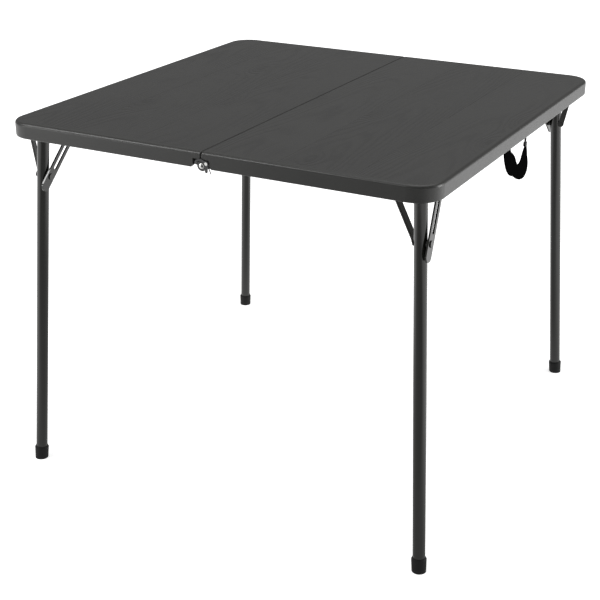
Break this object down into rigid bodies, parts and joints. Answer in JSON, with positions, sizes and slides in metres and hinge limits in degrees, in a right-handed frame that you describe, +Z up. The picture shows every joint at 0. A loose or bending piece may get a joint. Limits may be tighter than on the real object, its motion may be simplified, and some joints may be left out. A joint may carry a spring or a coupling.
{
  "type": "folding card table",
  "caption": "Square table that folds in half at a central seam, with a moulded top, hinged tube legs on slotted stays, side latches and a webbing carry strap.",
  "frame": {"origin": "on the floor under the middle of the top, with the table open and standing", "axes": "+X to the right along the front edge, +Y from the front edge to the back one, +Z up; the seam runs along Y"},
  "size_m": [0.906, 0.9126, 0.705],
  "materials": {
    "moulded_top": "charcoal, faint moulded wood grain, satin",
    "leg_paint": "dark grey powder coat, semi-gloss",
    "rail_paint": "dark grey powder coat, semi-gloss",
    "foot_rubber": "black, matt",
    "dark_hardware": "black, satin",
    "black_plastic": "black, satin",
    "webbing": "black woven webbing",
    "zinc": "bright zinc plate"
  },
  "bodies": {
    "right_half": {"half_panel_right": "moulded_top", "hinge_leaf_right_front": "dark_hardware", "hinge_leaf_right_back": "dark_hardware", "hinge_pin_front": "zinc", "hinge_barrel_front": "dark_hardware", "latch_rivet_front": "zinc", "catch_pin_back": "zinc", "screws_right": "zinc", "axle_saddles_front_right": "black_plastic", "axle_saddles_back_right": "black_plastic", "stay_rail_front_right": "rail_paint", "stay_rail_back_right": "rail_paint", "carry_strap": "webbing", "strap_clips": "black_plastic"},
    "left_half": {"half_panel_left": "moulded_top", "hinge_leaf_left_front": "dark_hardware", "hinge_leaf_left_back": "dark_hardware", "hinge_pin_back": "zinc", "hinge_barrel_back": "dark_hardware", "latch_rivet_back": "zinc", "catch_pin_front": "zinc", "screws_left": "zinc", "axle_saddles_front_left": "black_plastic", "axle_saddles_back_left": "black_plastic", "stay_rail_front_left": "rail_paint", "stay_rail_back_left": "rail_paint"},
    "leg_front_left": {"leg_tube_front_left": "leg_paint", "axle_tube_front_left": "leg_paint", "gusset_strap_front_left": "leg_paint", "leg_rivets_front_left": "leg_paint", "foot_cap_front_left": "foot_rubber"},
    "stay_front_left": {"stay_bar_front_left": "leg_paint", "slide_pin_front_left": "zinc"},
    "leg_front_right": {"leg_tube_front_right": "leg_paint", "axle_tube_front_right": "leg_paint", "gusset_strap_front_right": "leg_paint", "leg_rivets_front_right": "leg_paint", "foot_cap_front_right": "foot_rubber"},
    "stay_front_right": {"stay_bar_front_right": "leg_paint", "slide_pin_front_right": "zinc"},
    "leg_back_right": {"leg_tube_back_right": "leg_paint", "axle_tube_back_right": "leg_paint", "gusset_strap_back_right": "leg_paint", "leg_rivets_back_right": "leg_paint", "foot_cap_back_right": "foot_rubber"},
    "stay_back_right": {"stay_bar_back_right": "leg_paint", "slide_pin_back_right": "zinc"},
    "leg_back_left": {"leg_tube_back_left": "leg_paint", "axle_tube_back_left": "leg_paint", "gusset_strap_back_left": "leg_paint", "leg_rivets_back_left": "leg_paint", "foot_cap_back_left": "foot_rubber"},
    "stay_back_left": {"stay_bar_back_left": "leg_paint", "slide_pin_back_left": "zinc"},
    "latch_front": {"latch_lever_front": "dark_hardware"},
    "latch_back": {"latch_lever_back": "dark_hardware"}
  },
  "joints": [
    {"name": "centre_fold", "type": "hinge", "parent": "right_half", "child": "left_half", "pos_m": [0, 0, 0.6794], "axis": [0, -1, 0], "range_deg": [0, 140]},
    {"name": "leg_fold_front_left", "type": "hinge", "parent": "left_half", "child": "leg_front_left", "pos_m": [-0.364, -0.4035, 0.6875], "axis": [0.9982, 0, -0.0593], "range_deg": [0, 93.3]},
    {"name": "stay_turn_front_left", "type": "hinge", "parent": "leg_front_left", "child": "stay_front_left", "pos_m": [-0.36903, -0.40839, 0.60279], "axis": [0.9982, 0, -0.0593], "range_deg": [-138.4, 0]},
    {"name": "leg_fold_front_right", "type": "hinge", "parent": "right_half", "child": "leg_front_right", "pos_m": [0.399, -0.4035, 0.6875], "axis": [0.9982, 0, 0.0593], "range_deg": [0, 93.3]},
    {"name": "stay_turn_front_right", "type": "hinge", "parent": "leg_front_right", "child": "stay_front_right", "pos_m": [0.40403, -0.40839, 0.60279], "axis": [0.9982, 0, 0.0593], "range_deg": [-154.4, 0]},
    {"name": "leg_fold_back_right", "type": "hinge", "parent": "right_half", "child": "leg_back_right", "pos_m": [0.364, 0.4035, 0.6875], "axis": [-0.9982, 0, -0.0593], "range_deg": [0, 93.3]},
    {"name": "stay_turn_back_right", "type": "hinge", "parent": "leg_back_right", "child": "stay_back_right", "pos_m": [0.36903, 0.40839, 0.60279], "axis": [-0.9982, 0, -0.0593], "range_deg": [-138.4, 0]},
    {"name": "leg_fold_back_left", "type": "hinge", "parent": "left_half", "child": "leg_back_left", "pos_m": [-0.399, 0.4035, 0.6875], "axis": [-0.9982, 0, 0.0593], "range_deg": [0, 93.3]},
    {"name": "stay_turn_back_left", "type": "hinge", "parent": "leg_back_left", "child": "stay_back_left", "pos_m": [-0.40403, 0.40839, 0.60279], "axis": [-0.9982, 0, 0.0593], "range_deg": [-154.4, 0]},
    {"name": "latch_lift_front", "type": "hinge", "parent": "right_half", "child": "latch_front", "pos_m": [0.0124, -0.432, 0.686], "axis": [0, 1, 0], "range_deg": [0, 50]},
    {"name": "latch_lift_back", "type": "hinge", "parent": "left_half", "child": "latch_back", "pos_m": [-0.0124, 0.432, 0.686], "axis": [0, -1, 0], "range_deg": [0, 50]}
  ],
  "couplings": [
    {"joint": "leg_fold_front_left", "follows": "centre_fold", "ratio": 0.66643},
    {"joint": "stay_turn_front_left", "follows": "centre_fold", "ratio": -0.98789},
    {"joint": "stay_turn_front_right", "follows": "leg_fold_front_right", "ratio": -1.6541},
    {"joint": "stay_turn_back_right", "follows": "leg_fold_back_right", "ratio": -1.4824},
    {"joint": "leg_fold_back_left", "follows": "centre_fold", "ratio": 0.66643},
    {"joint": "stay_turn_back_left", "follows": "centre_fold", "ratio": -1.1023}
  ]
}
